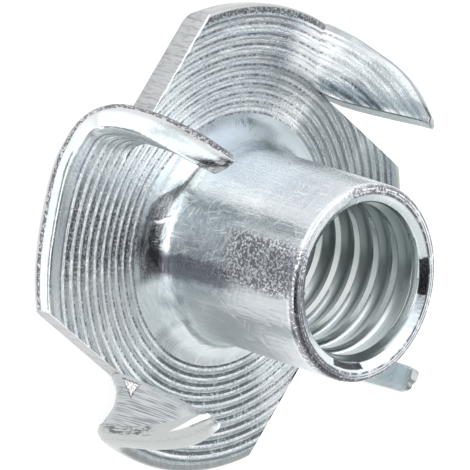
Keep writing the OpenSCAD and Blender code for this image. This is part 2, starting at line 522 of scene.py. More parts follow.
# ---------------------------------------------------------------- finish: bright zinc over pressed and drawn steel
class Net:
    """Small helpers for building a node tree in code."""

    def __init__(self, nt):
        self.nt = nt

    def put(self, socket, v):
        if v is None:
            return
        if isinstance(v, (int, float)):
            socket.default_value = v
        elif isinstance(v, tuple):
            socket.default_value = v if len(v) == len(socket.default_value) else (*v, 1.0)
        else:
            self.nt.links.new(v, socket)

    def m(self, op, a, b=None, c=None, clamp=False):
        n = self.nt.nodes.new("ShaderNodeMath")
        n.operation = op
        n.use_clamp = clamp
        for i, v in enumerate((a, b, c)):
            self.put(n.inputs[i], v)
        return n.outputs[0]

    def mul(self, *vs):
        out = vs[0]
        for v in vs[1:]:
            out = self.m("MULTIPLY", out, v)
        return out

    def add(self, *vs):
        out = vs[0]
        for v in vs[1:]:
            out = self.m("ADD", out, v)
        return out

    def step(self, v, lo, hi):
        n = self.nt.nodes.new("ShaderNodeMapRange")
        n.interpolation_type = "SMOOTHSTEP"
        self.put(n.inputs["Value"], v)
        flip = hi < lo
        n.inputs["From Min"].default_value = min(lo, hi)
        n.inputs["From Max"].default_value = max(lo, hi)
        n.inputs["To Min"].default_value = 1.0 if flip else 0.0
        n.inputs["To Max"].default_value = 0.0 if flip else 1.0
        return n.outputs[0]

    def near(self, v, centre, half, soft):
        """1 where v is within half of centre, fading out over soft."""
        return self.step(self.m("ABSOLUTE", self.m("SUBTRACT", v, centre)), half + soft, half)

    def xyz(self, x, y, z):
        n = self.nt.nodes.new("ShaderNodeCombineXYZ")
        for i, v in enumerate((x, y, z)):
            self.put(n.inputs[i], v)
        return n.outputs[0]

    def split(self, v):
        n = self.nt.nodes.new("ShaderNodeSeparateXYZ")
        self.nt.links.new(v, n.inputs[0])
        return n.outputs[0], n.outputs[1], n.outputs[2]

    def noise(self, vec, scale, detail=2.0, rough=0.5, warp=0.0):
        n = self.nt.nodes.new("ShaderNodeTexNoise")
        self.nt.links.new(vec, n.inputs["Vector"])
        n.inputs["Scale"].default_value = scale
        n.inputs["Detail"].default_value = detail
        n.inputs["Roughness"].default_value = rough
        n.inputs["Distortion"].default_value = warp
        return n.outputs["Fac"]

    def mix(self, f, a, b):
        n = self.nt.nodes.new("ShaderNodeMix")
        n.data_type = "RGBA"
        self.put(n.inputs["Factor"], f)
        self.put(n.inputs[6], a)
        self.put(n.inputs[7], b)
        return n.outputs[2]

    def attr(self, name):
        n = self.nt.nodes.new("ShaderNodeAttribute")
        n.attribute_type = "GEOMETRY"
        n.attribute_name = name
        return n


def zinc_material():
    mat = bpy.data.materials.new("zinc_steel")
    mat.use_nodes = True
    nt = mat.node_tree
    bs = nt.nodes["Principled BSDF"]
    N = Net(nt)
    m, mul, add, step, near, noise, mix, xyz = N.m, N.mul, N.add, N.step, N.near, N.noise, N.mix, N.xyz

    zone = N.attr("zone").outputs["Fac"]
    lay = N.attr("lay").outputs["Vector"]
    groove = N.attr("groove").outputs["Fac"]
    x, y, w = N.split(lay)
    r = m("SQRT", add(mul(x, x), mul(y, y)))
    az = m("ARCTAN2", y, x)  # -pi..pi, no seam matters: it only feeds noise through cos and sin below
    cs, sn = m("DIVIDE", x, r), m("DIVIDE", y, r)

    def is_zone(k):
        return m("COMPARE", zone, float(k), 0.5)

    z_front, z_back, z_rim, z_cut, z_barrel, z_thread = (is_zone(k) for k in range(1, 7))

    def lobe(deg, half=25.0, soft=6.0):
        a = math.radians(deg)
        return step(add(mul(cs, math.cos(a)), mul(sn, math.sin(a))), math.cos(math.radians(half + soft)), math.cos(math.radians(half - soft)))

    lobe_t, lobe_l, lobe_b, lobe_r = lobe(32, 23, 5), lobe(114), lobe(207, 29), lobe(298, 30)
    tine_b, tine_a, tine_c, tine_d = lobe(339, 19, 3), lobe(69, 19, 3), lobe(159, 19, 3), lobe(249, 19, 3)

    # noises, all in millimetres of the flat sheet or of the drawn barrel
    cloud = noise(lay, 0.33, 3.0, 0.55, 0.4)
    cloud2 = noise(lay, 0.95, 3.0, 0.6, 0.8)
    speck = noise(lay, 6.5, 2.0, 0.6)
    grit = noise(lay, 13.0, 2.0, 0.7)
    ring = noise(xyz(mul(cs, 5.5), mul(sn, 5.5), mul(r, 9.5)), 1.0, 3.0, 0.65)  # long fine marks round the axis
    ring_fine = noise(xyz(mul(cs, 16.0), mul(sn, 16.0), mul(r, 21.0)), 1.0, 2.0, 0.6)
    ring_break = noise(xyz(mul(cs, 9.0), mul(sn, 9.0), mul(r, 2.2)), 1.0, 3.0, 0.7)  # where a mark stops and starts

    # ---- press lines of the grooved face: dark lines along the grooves, light lines and glints as painted highlights, and in one strong sector painted dark and white reflections
    def line(centre, half, soft):
        d = m("ABSOLUTE", m("SUBTRACT", m("FRACT", add(groove, 0.5 - centre)), 0.5))
        return step(d, half + soft, half)

    on_rings = mul(step(groove, -0.55, -0.3), step(groove, 9.75, 9.55))
    lumpy = add(mul(speck, 0.75), mul(ring_break, 0.5))
    dark = mul(line(0.02, 0.05, 0.13), step(lumpy, 0.50, 0.74))
    # light and second_light: painted highlights along the press lines
    light = mul(line(0.36, 0.07, 0.12), step(add(mul(grit, 0.6), mul(ring_break, 0.55)), 0.44, 0.64))
    second = mul(line(0.60, 0.02, 0.09), step(ring_break, 0.42, 0.62))
    second_light = mul(line(0.76, 0.03, 0.07), step(ring_break, 0.56, 0.42))
    edge_line = mul(near(r, 10.46, 0.03, 0.05), step(lumpy, 0.42, 0.62))
    dots = step(noise(xyz(mul(cs, 88.0), mul(sn, 88.0), mul(r, 4.0)), 1.0, 1.0, 0.5), 0.42, 0.58)
    dots2 = step(noise(xyz(mul(cs, 88.0), mul(sn, 88.0), add(mul(r, 4.0), 9.0)), 1.0, 1.0, 0.5), 0.42, 0.58)
    # strong: the sector where the press lines are painted as reflections: hard is painted dark reflection, glint is
    # painted white reflection
    strong = lobe(119, 13, 9)
    coarse = noise(lay, 9.0, 1.0, 0.5)
    hard = mul(line(-0.12, 0.20, 0.12), add(0.22, mul(step(add(mul(coarse, 0.5), mul(grit, 0.5)), 0.44, 0.52), 0.88)), strong)
    glint = mul(line(0.43, 0.14, 0.08), add(0.35, mul(step(add(mul(coarse, 0.6), mul(ring_break, 0.4)), 0.58, 0.46), 0.65)), strong)
    broad = mul(line(0.03, 0.13, 0.15), step(lumpy, 0.42, 0.62), m("MAXIMUM", lobe_b, mul(lobe_r, 0.7)))
    dark_f = mul(z_front, on_rings, m("MAXIMUM", m("MAXIMUM", dark, broad), mul(second, 0.55)))
    dark_f = m("MAXIMUM", dark_f, mul(z_front, edge_line, 0.8))
    dark_f = m("MAXIMUM", dark_f, mul(z_front, on_rings, hard, 1.0))
    dark_f = mul(dark_f, m("SUBTRACT", 1.0, mul(lobe_l, 0.14)))
    light_f = mul(z_front, on_rings, m("MAXIMUM", m("MAXIMUM", light, mul(second_light, 0.5)), mul(glint, 1.2)), m("SUBTRACT", 1.0, mul(lobe_r, 0.72)))

    # ---- the rough band low on the rim, and the scuffed front corner of one lobe
    on_a = mul(step(y, 8.0, 8.4), step(x, -2.5, 0.0))  # the prong that starts from the north lobe
    band = mul(z_rim, near(add(w, mul(cloud2, 0.12), mul(on_a, add(0.10, mul(step(x, -1.5, 3.0), 0.34)))), 0.60, 0.12, 0.05), step(add(speck, mul(grit, 0.5)), 0.60, 0.80), add(0.12, mul(m("MAXIMUM", lobe_l, tine_a), 0.88)))
    corner = mul(near(add(r, mul(speck, 0.08)), 10.80, 0.11, 0.07), step(w, 1.28, 1.33), step(add(speck, mul(grit, 0.45)), 0.60, 0.80), lobe_t)
    # ---- shear marks through the sheet's thickness on the cut walls
    shear = noise(xyz(mul(x, 8.5), mul(y, 8.5), mul(w, 0.55)), 1.0, 3.0, 0.7)
    shear_fine = noise(xyz(mul(x, 24.0), mul(y, 24.0), mul(w, 2.2)), 1.0, 2.0, 0.6)
    shear_dark = mul(z_cut, m("SUBTRACT", 1.0, m("MAXIMUM", tine_b, tine_d)), step(add(mul(shear, 0.6), mul(shear_fine, 0.6)), 0.56, 0.72))
    # the burr along the top edge of the cut walls, painted white as a highlight
    burr_highlight = mul(m("MAXIMUM", z_cut, 0.0), step(add(w, mul(cloud2, 0.16), mul(speck, 0.10)), 1.36, 1.42))

    # ---- drawing scratches and scuffs on the barrel, and painted dark reflections on the barrel and in the mouth
    arc = mul(az, 4.55)

    def scratch(turn, seed, lo, hi, density):
        c, s = math.cos(turn), math.sin(turn)
        u = add(mul(arc, c), mul(w, s), seed)
        v = add(mul(arc, -s), mul(w, c), seed * 1.7)
        a = noise(xyz(mul(u, 9.5), mul(v, 0.5), seed), 1.0, 1.0, 0.5)
        b = noise(xyz(mul(u, 0.8), mul(v, 0.8), seed + 5.0), 1.0, 1.0, 0.5)
        return mul(step(a, lo, hi), step(b, density, density + 0.06))

    axial = scratch(0.06, 3.1, 0.60, 0.68, 0.42)
    cross = m("MAXIMUM", scratch(1.1, 7.3, 0.66, 0.72, 0.50), scratch(-0.85, 12.9, 0.66, 0.72, 0.50))
    busy = mul(near(az, math.radians(110), math.radians(20), math.radians(6)), step(w, 6.6, 5.6), step(w, 2.3, 2.7))
    cross = m("MAXIMUM", cross, mul(busy, m("MAXIMUM", scratch(0.35, 21.3, 0.60, 0.66, 0.44), scratch(1.35, 33.7, 0.60, 0.66, 0.47)), 1.3))
    scratches = mul(z_barrel, m("MAXIMUM", axial, cross), step(r, 4.75, 4.6), step(w, 10.1, 9.9))
    # turn and shade: a painted dark reflection on the barrel, standing in for the dark gap between two lobes seen in it
    turn = m("ABSOLUTE", m("SUBTRACT", add(az, mul(cloud2, 0.12), mul(speck, 0.04), mul(w, 0.014)), math.radians(138.3)))
    shade = mul(z_barrel, step(add(turn, mul(w, 0.008)), math.radians(11.5), math.radians(7)), near(add(w, mul(az, -0.6), mul(speck, 0.7)), 2.85, 2.2, 0.3))
    mott = noise(lay, 4.2, 4.0, 0.75)
    draw_lines = noise(xyz(mul(arc, 7.0), mul(w, 0.55), 2.0), 1.0, 3.0, 0.6)
    plain_wall = mul(step(w, 2.6, 3.2), step(w, 10.05, 9.8), step(r, 4.4, 4.5))
    worn = mul(z_barrel, near(az, math.radians(115), math.radians(12), math.radians(7)), step(w, 4.8, 6.4))
    pepper = noise(lay, 8.0, 2.0, 0.7)
    scuff = mul(worn, step(add(pepper, mul(cloud2, 0.3)), 0.60, 0.70))
    salt = mul(worn, step(pepper, 0.47, 0.42))
    lip_dark = mul(z_barrel, step(w, 9.9, 10.1), step(r, 4.0, 4.1), lobe(165, 40, 15), step(add(speck, mul(grit, 0.6), mul(cloud2, 0.4)), 0.74, 0.94))
    on_lip = mul(z_barrel, step(w, 9.85, 10.0))
    lip_lines = mul(on_lip, m("MAXIMUM", mul(near(r, 4.43, 0.035, 0.035), step(add(grit, mul(ring_break, 0.5)), 0.56, 0.70)), mul(near(r, 4.09, 0.012, 0.03), step(ring_break, 0.40, 0.52))))
    lip_lines = m("MAXIMUM", lip_lines, mul(on_lip, near(m("FRACT", mul(add(r, mul(cloud, 0.08)), 8.5)), 0.5, 0.13, 0.12), step(r, 4.04, 4.10), step(add(ring_break, mul(grit, 0.4)), 0.56, 0.68)))
    lip_lines = mul(lip_lines, m("SUBTRACT", 1.0, mul(lobe(75, 28, 14), 0.75)))
    lip_scuff = m("MAXIMUM", lip_lines, mul(on_lip, step(r, 4.0, 4.12), lobe(25, 28, 12), step(add(speck, mul(grit, 0.6), mul(cloud, 0.5)), 1.02, 1.14)))
    lip_base = mul(on_lip, step(r, 4.05, 4.10))
    # painted dark reflections in the mouth's chamfer, at two places round the bore
    mouth_painted_dark = mul(on_lip, near(add(r, mul(grit, 0.10)), 3.82, 0.15, 0.05), step(add(lobe(203, 13, 4), mul(speck, 0.8), mul(grit, 0.5)), 1.0, 1.12))
    mouth_painted_dark = m("MAXIMUM", mouth_painted_dark, mul(on_lip, near(r, 3.82, 0.24, 0.05), step(add(lobe(304, 12, 3), mul(speck, 0.8), mul(grit, 0.5)), 1.0, 1.12)))

    # ---- colour
    col = mix(step(cloud, 0.36, 0.66), (0.87, 0.89, 0.895), (0.73, 0.79, 0.81))
    col = mix(mul(step(cloud2, 0.50, 0.72), 0.35), col, (0.64, 0.70, 0.735))
    col = mix(mul(z_front, lobe_t, 0.80), col, (0.46, 0.505, 0.56))
    # painted highlight: the face beside a prong's fold is painted near white
    col = mix(mul(z_front, lobe(4, 10, 5), 0.8), col, (0.97, 0.98, 0.99))
    col = mix(mul(z_front, tine_b, step(x, 8.1, 8.3), 0.80), col, (0.55, 0.59, 0.61))
    col = mix(mul(z_front, tine_a, step(y, 8.1, 8.3), 0.6), col, (0.86, 0.93, 0.91))
    # painted shade: prong B's rim is painted darker, with a darker line along its top edge
    col = mix(mul(z_rim, tine_b, 0.9), col, (0.58, 0.60, 0.61))
    col = mix(mul(z_rim, tine_b, step(w, 1.389, 1.374), 0.75), col, (0.33, 0.34, 0.35))
    # painted reflections on the barrel: darker and lighter bands keyed by azimuth and height, with a white band as a
    # painted highlight
    col = mix(mul(z_barrel, lobe(28, 34, 10), step(w, 3.6, 2.4), 0.85), col, (0.33, 0.38, 0.43))
    col = mix(mul(z_barrel, lobe(17, 9, 5), step(w, 2.3, 1.8), 0.7), col, (0.62, 0.67, 0.69))
    col = mix(mul(z_barrel, lobe(14, 16, 6), near(w, 4.0, 2.2, 0.8), 0.8), col, (0.40, 0.44, 0.46))
    col = mix(mul(z_barrel, lobe(350, 18, 7), step(w, 2.6, 2.1), 0.85), col, (0.44, 0.49, 0.51))
    col = mix(mul(z_barrel, step(w, 4.0, 8.0), 0.60), col, (0.60, 0.63, 0.66))
    col = mix(mul(z_barrel, lobe(62, 30, 12), step(w, 7.2, 8.8), step(w, 10.0, 9.8), 0.50), col, (0.53, 0.56, 0.59))
    col = mix(mul(z_barrel, lobe(66, 22, 10), near(w, 4.5, 1.5, 1.2), 0.65), col, (0.97, 0.975, 0.975))
    turn_z = m("FRACT", m("SUBTRACT", m("SUBTRACT", mul(w, 0.8), mul(az, 0.5 / math.pi)), THREAD_TURN))
    # painted light and shade in the bore: one side lighter, the other darker, and dark bands on the flanks where the
    # bore shades itself
    col = mix(mul(z_thread, lobe(330, 45, 20), 0.85), col, (0.40, 0.45, 0.435))
    col = mix(mul(z_thread, 0.35), col, (0.55, 0.60, 0.60))
    col = mix(mul(z_thread, lobe(250, 42, 18), 0.6), col, (0.90, 0.93, 0.93))
    col = mix(mul(z_thread, near(add(turn_z, mul(speck, 0.03)), 0.39, 0.25, 0.04), lobe(322, 46, 14), 0.88), col, (0.17, 0.205, 0.205))
    col = mix(mul(z_thread, near(add(turn_z, mul(speck, 0.03)), 0.43, 0.14, 0.04), lobe(250, 42, 14), 0.72), col, (0.22, 0.25, 0.25))
    col = mix(mul(z_rim, m("SUBTRACT", 1.0, m("MAXIMUM", m("MAXIMUM", lobe_l, tine_a), tine_b)), 0.88), col, (0.39, 0.405, 0.395))
    col = mix(mul(z_rim, m("MAXIMUM", lobe_l, tine_a), step(w, 0.62, 0.40), 0.85), col, (0.56, 0.56, 0.565))
    col = mix(mul(z_front, m("MAXIMUM", lobe_b, lobe_r), 0.85), col, (0.36, 0.42, 0.44))
    col = mix(mul(z_front, lobe(312, 38, 5), step(x, 8.25, 8.15), 0.54), col, (0.24, 0.275, 0.295))
    col = mix(mul(z_front, lobe(52, 9, 5), step(y, 8.25, 8.15), 0.7), col, (0.40, 0.44, 0.48))
    roll = noise(xyz(mul(x, 11.0), mul(y, 0.7), w), 1.0, 3.0, 0.65)  # rolling marks of the sheet, on the back
    col = mix(mul(z_back, step(roll, 0.50, 0.60), 0.38), col, (0.40, 0.42, 0.44))
    col = mix(mul(z_back, 0.85), col, (0.44, 0.465, 0.48))
    # the prong at the lower left: tool marks along it, a burnished corner by its tip painted white as a highlight, and
    # a nick at its root
    marks = noise(xyz(mul(x, 19.0), mul(y, 0.5), 3.0), 1.0, 1.0, 0.5)
    marked = mul(tine_c, near(y, 3.1, 1.5, 0.8), near(x, -9.6, 0.85, 0.4))
    col = mix(mul(z_back, marked, step(marks, 0.48, 0.56), 0.66), col, (0.15, 0.155, 0.17))
    loops = mul(tine_c, near(y, 2.2, 1.0, 0.5), near(r, 10.72, 0.12, 0.10), step(w, 0.4, 0.2))
    col = mix(mul(loops, step(noise(xyz(mul(y, 2.6), mul(r, 14.0), 5.0), 1.0, 2.0, 0.6, 0.6), 0.47, 0.55), 0.85), col, (0.09, 0.10, 0.11))
    # wedge: a painted highlight on the burnished corner by the prong's tip
    wedge = mul(tine_c, step(add(r, mul(y, 0.11)), 11.31, 11.37), step(y, 4.0, 4.5), step(w, 0.19, 0.14))
    col = mix(wedge, col, (0.86, 0.87, 0.875))
    col = mix(mul(tine_c, near(add(w, mul(cloud2, 0.05)), 0.21, 0.02, 0.02), step(y, 5.4, 5.8), step(grit, 0.40, 0.50), 0.8), col, (0.10, 0.10, 0.11))
    down = m("SUBTRACT", -8.40, x)  # a small three-cornered nick, point down
    side = add(m("ABSOLUTE", m("SUBTRACT", y, 2.17)), mul(down, 0.72), mul(speck, 0.16))
    nick = mul(z_back, step(side, 0.52, 0.46), step(down, 0.0, 0.05))
    nick_edge = mul(z_back, step(side, 0.62, 0.56), step(down, -0.09, -0.05), step(grit, 0.44, 0.54))
    col = mix(mul(nick_edge, 0.85), col, (0.05, 0.05, 0.06))
    col = mix(mul(nick, add(0.45, mul(step(add(mul(speck, 0.5), mul(grit, 0.5)), 0.56, 0.46), 0.55))), col, (0.93, 0.93, 0.94))
    col = mix(mul(z_front, step(ring, 0.42, 0.68), 0.40), col, (0.42, 0.455, 0.475))
    col = mix(mul(z_front, step(ring_fine, 0.60, 0.44), m("SUBTRACT", 0.30, mul(lobe_r, 0.22))), col, (0.90, 0.925, 0.925))
    out_b = m("SUBTRACT", x, 8.2)
    up_b = m("MULTIPLY", y, -1.0)
    bend = m("DIVIDE", m("SUBTRACT", up_b, 1.95), 2.2)
    fine_b = step(ring_fine, 0.46, 0.56)
    brush = noise(xyz(mul(cs, 10.0), mul(sn, 10.0), mul(r, 17.0)), 1.0, 2.0, 0.6)
    almond = mul(z_front, tine_b, step(m("SUBTRACT", mul(m("SUBTRACT", 1.0, mul(bend, bend)), 0.98), out_b), -0.05, 0.08), step(x, 8.15, 8.2))
    on_b = mul(z_front, tine_b, m("SUBTRACT", 1.0, almond))
    dark_f = mul(dark_f, m("SUBTRACT", 1.0, mul(on_b, 0.78)))
    light_f = mul(light_f, m("SUBTRACT", 1.0, mul(on_b, 0.4)))
    col = mix(mul(on_b, step(x, 8.2, 8.3), step(brush, 0.52, 0.60), 0.22), col, (0.30, 0.33, 0.34))
    col = mix(mul(almond, 0.85), col, (0.52, 0.58, 0.615))
    col = mix(mul(almond, step(brush, 0.50, 0.56), 0.75), col, (1.0, 1.0, 1.0))
    col = mix(mul(z_front, tine_b, step(x, 8.60, 8.45), step(up_b, 4.6, 4.0), step(up_b, -0.4, 0.2), 0.8), col, (0.25, 0.29, 0.31))
    # a painted dark reflection on the facet at prong A's tip, broken into specks
    tip_painted_dark = mul(z_rim, tine_a, step(add(x, mul(w, 0.45)), 6.80, 6.95), step(add(w, mul(cloud2, 0.1)), 0.30, 0.42), add(0.25, mul(step(add(speck, mul(grit, 0.5)), 0.62, 0.84), 0.75)))
    col = mix(mul(tip_painted_dark, 0.92), col, (0.08, 0.08, 0.09))
    # press lines: dark lines along the grooves, painted dark reflection in the strong sector; light lines and glints
    # are painted highlights
    col = mix(mul(dark_f, add(0.82, mul(strong, 0.17))), col, (0.085, 0.095, 0.11))
    col = mix(mul(light_f, 0.80), col, (0.97, 0.98, 0.98))
    col = mix(mul(z_front, on_rings, glint, 0.95), col, (1.0, 1.0, 1.0))
    col = mix(mul(m("MAXIMUM", band, corner), 0.88), col, (0.10, 0.095, 0.11))
    col = mix(mul(z_cut, 0.85), col, (0.45, 0.462, 0.47))
    col = mix(mul(shear_dark, 0.66), col, (0.28, 0.27, 0.27))
    # painted light on the cut walls of prongs D and B: lighter walls, a lighter band low on D's, a matte light band low
    # on B's and a darker band high on B's
    col = mix(mul(z_cut, tine_d, 0.9), col, (0.80, 0.89, 0.91))
    col = mix(mul(z_cut, tine_d, step(add(w, mul(y, -0.10)), 1.20, 1.06), 0.9), col, (0.93, 0.95, 0.94))
    col = mix(mul(z_cut, tine_b, 0.9), col, (0.90, 0.95, 0.94))
    col = mix(mul(z_cut, tine_b, step(w, 1.06, 1.16), 0.85), col, (0.34, 0.38, 0.39))
    # painted highlight along the burr of the cut walls
    col = mix(mul(burr_highlight, m("SUBTRACT", 1.0, tine_b), 0.8), col, (0.96, 0.96, 0.96))
    # a painted darker bluish band low on the barrel, deepening the dark reflection there
    col = mix(mul(z_barrel, step(w, 2.15, 2.30), near(az, math.radians(118), math.radians(24), math.radians(8)), step(w, 7.0, 5.5), add(0.45, mul(step(mott, 0.48, 0.60), 0.4))), col, (0.36, 0.41, 0.45))
    col = mix(mul(scratches, 0.75), col, (0.93, 0.96, 0.97))
    # painted dark reflection on the barrel
    col = mix(mul(shade, 0.80), col, (0.17, 0.17, 0.205))
    # a small painted dark reflection low on the fillet, where the dark patch meets it
    col = mix(mul(z_barrel, near(w, 1.95, 0.35, 0.1), near(az, math.radians(132), math.radians(4), math.radians(3)), 0.85), col, (0.07, 0.07, 0.085))
    col = mix(mul(salt, 0.95), col, (1.0, 1.0, 1.0))
    col = mix(mul(lip_base, 0.6), col, (0.93, 0.94, 0.95))
    col = mix(mul(on_lip, step(r, 4.05, 4.0), lobe(345, 38, 12), 0.75), col, (0.90, 0.95, 0.94))
    # painted dark reflections in the mouth's chamfer
    col = mix(mul(mouth_painted_dark, add(0.86, mul(step(grit, 0.62, 0.5), 0.13))), col, (0.035, 0.035, 0.042))
    # a nick across the drawing radius with a painted shadow line beside it, and a painted dark band on the fillet that
    # stands in for a dark reflection
    ramp = step(az, math.radians(84), math.radians(106))
    torn = noise(xyz(mul(arc, 1.1), mul(r, 13.0), 8.0), 1.0, 2.0, 0.6)
    fillet_dark_out = m("SUBTRACT", add(4.99, mul(ramp, 0.80)), add(r, mul(speck, 0.10), mul(torn, 0.16)))
    fillet_dark_in = m("SUBTRACT", r, add(4.72, mul(ramp, 0.14), mul(speck, 0.05)))
    drag_lines = noise(xyz(mul(arc, 1.6), mul(r, 16.0), 4.0), 1.0, 2.0, 0.6)
    fillet_painted_dark = mul(z_barrel, step(fillet_dark_out, -0.03, 0.03), step(fillet_dark_in, -0.02, 0.04), near(az, math.radians(105), math.radians(34), math.radians(4)), step(w, 2.3, 2.2))
    col = mix(mul(fillet_painted_dark, add(0.50, mul(step(add(mul(drag_lines, 0.65), mul(grit, 0.45)), 0.50, 0.62), 0.45))), col, (0.15, 0.15, 0.16))
    # darker streaks along the painted dark band on the fillet
    col = mix(mul(z_barrel, near(w, 1.98, 0.20, 0.08), near(az, math.radians(115), math.radians(24), math.radians(5)), step(drag_lines, 0.54, 0.64), 0.5), col, (0.35, 0.36, 0.38))
    across = add(az, mul(w, 0.16))
    fleck = add(across, mul(cloud2, 0.10), -math.radians(107) - 0.36)
    # a painted shadow line beside the nick
    col = mix(mul(z_barrel, near(fleck, -0.024, 0.006, 0.010), near(w, 1.92, 0.08, 0.06), 0.6), col, (0.16, 0.16, 0.17))
    col = mix(mul(z_barrel, near(fleck, 0.0, 0.012, 0.014), near(w, 1.82, 0.24, 0.1)), col, (0.98, 0.98, 0.98))
    col = mix(mul(z_barrel, near(az, math.radians(136), math.radians(6), math.radians(4)), step(w, 5.6, 6.6), step(w, 10.0, 9.8), 0.6), col, (0.50, 0.53, 0.54))
    col = mix(mul(z_barrel, step(draw_lines, 0.60, 0.48), plain_wall, 0.18), col, (0.42, 0.46, 0.50))
    col = mix(mul(m("MAXIMUM", scuff, lip_dark), 0.80), col, (0.13, 0.125, 0.15))
    col = mix(mul(lip_scuff, 0.85), col, (0.10, 0.10, 0.12))
    col = mix(mul(step(grit, 0.66, 0.74), 0.25), col, (0.30, 0.32, 0.34))
    # painted light low on the fillet: a matte grey patch with streaks
    col = mix(mul(z_barrel, near(az, math.radians(156), math.radians(14), math.radians(7)), step(w, 2.9, 2.4), add(0.62, mul(step(drag_lines, 0.46, 0.58), 0.33))), col, (0.46, 0.51, 0.53))
    nt.links.new(col, bs.inputs["Base Color"])
    # less metallic where light and shade are painted as matte colour: a painted highlight beside one prong's fold,
    # painted light low on the fillet facing another, the low band of prong B's cut wall, the glints of the press lines,
    # one side of the lip, and painted shade on the thread's flanks
    pale = m("MAXIMUM", mul(z_front, lobe(7, 9, 5), step(r, 8.2, 8.6)), m("MAXIMUM", mul(z_barrel, near(az, math.radians(156), math.radians(11), math.radians(7)), step(w, 2.8, 2.3)), mul(z_barrel, lobe(17, 9, 5), step(w, 2.3, 1.8), 0.7)))
    pale = m("MAXIMUM", pale, mul(z_cut, tine_b, step(w, 1.16, 1.06)))
    pale = m("MAXIMUM", pale, mul(z_front, on_rings, glint, step(ring_fine, 0.62, 0.42), 0.78))
    pale = m("MAXIMUM", pale, mul(on_lip, step(r, 4.05, 4.0), lobe(345, 38, 12), 0.45))
    pale = m("MAXIMUM", pale, mul(z_thread, near(turn_z, 0.39, 0.25, 0.04), lobe(300, 55, 20), 0.9))
    nt.links.new(m("SUBTRACT", 1.0, mul(pale, 0.55)), bs.inputs["Metallic"])

    # ---- roughness
    rough = add(0.13, mul(cloud2, 0.06), mul(speck, 0.08), mul(z_front, 0.05), mul(dark_f, 0.18), mul(band, 0.3), mul(corner, 0.3), mul(shear_dark, 0.15), mul(scuff, 0.2), mul(z_thread, 0.02), mul(z_barrel, plain_wall, 0.07), mul(z_barrel, lobe(190, 40, 20), plain_wall, 0.10))
    rough = m("SUBTRACT", rough, mul(light_f, 0.06))
    nt.links.new(rough, bs.inputs["Roughness"])

    # ---- fine relief, in millimetres
    h = mul(m("MAXIMUM", z_front, mul(z_rim, 0.6)), add(mul(ring, 0.016), mul(ring_fine, 0.007)))
    rest = m("SUBTRACT", 1.0, mul(z_thread, 0.85))
    h = add(h, mul(rest, add(mul(speck, 0.006), mul(grit, 0.002), mul(cloud2, 0.03))), mul(z_front, add(mul(speck, 0.012), mul(grit, 0.006))))
    h = add(h, mul(z_cut, add(mul(shear, 0.03), mul(shear_fine, 0.008))))
    h = add(h, mul(z_barrel, plain_wall, mul(draw_lines, 0.012)), mul(scratches, -0.006))
    h = add(h, mul(m("MAXIMUM", band, corner), mul(grit, 0.03)))
    bump = nt.nodes.new("ShaderNodeBump")
    bump.inputs["Strength"].default_value = 1.0
    bump.inputs["Distance"].default_value = 0.001
    nt.links.new(h, bump.inputs["Height"])
    # the shading normal of prong B's face is tilted upwards, so that it looks up past the flange
    geo = nt.nodes.new("ShaderNodeNewGeometry")
    up = nt.nodes.new("ShaderNodeVectorMath")
    up.operation = "SCALE"
    up.inputs[0].default_value = (0, 0, 1)
    nt.links.new(mul(m("MAXIMUM", on_b, mul(z_rim, tine_b)), step(up_b, 0.8, 2.0), 0.34), up.inputs["Scale"])
    tilt = nt.nodes.new("ShaderNodeVectorMath")
    nt.links.new(geo.outputs["Normal"], tilt.inputs[0])
    nt.links.new(up.outputs[0], tilt.inputs[1])
    unit = nt.nodes.new("ShaderNodeVectorMath")
    unit.operation = "NORMALIZE"
    nt.links.new(tilt.outputs[0], unit.inputs[0])
    nt.links.new(unit.outputs[0], bump.inputs["Normal"])
    nt.links.new(bump.outputs["Normal"], bs.inputs["Normal"])
    return mat


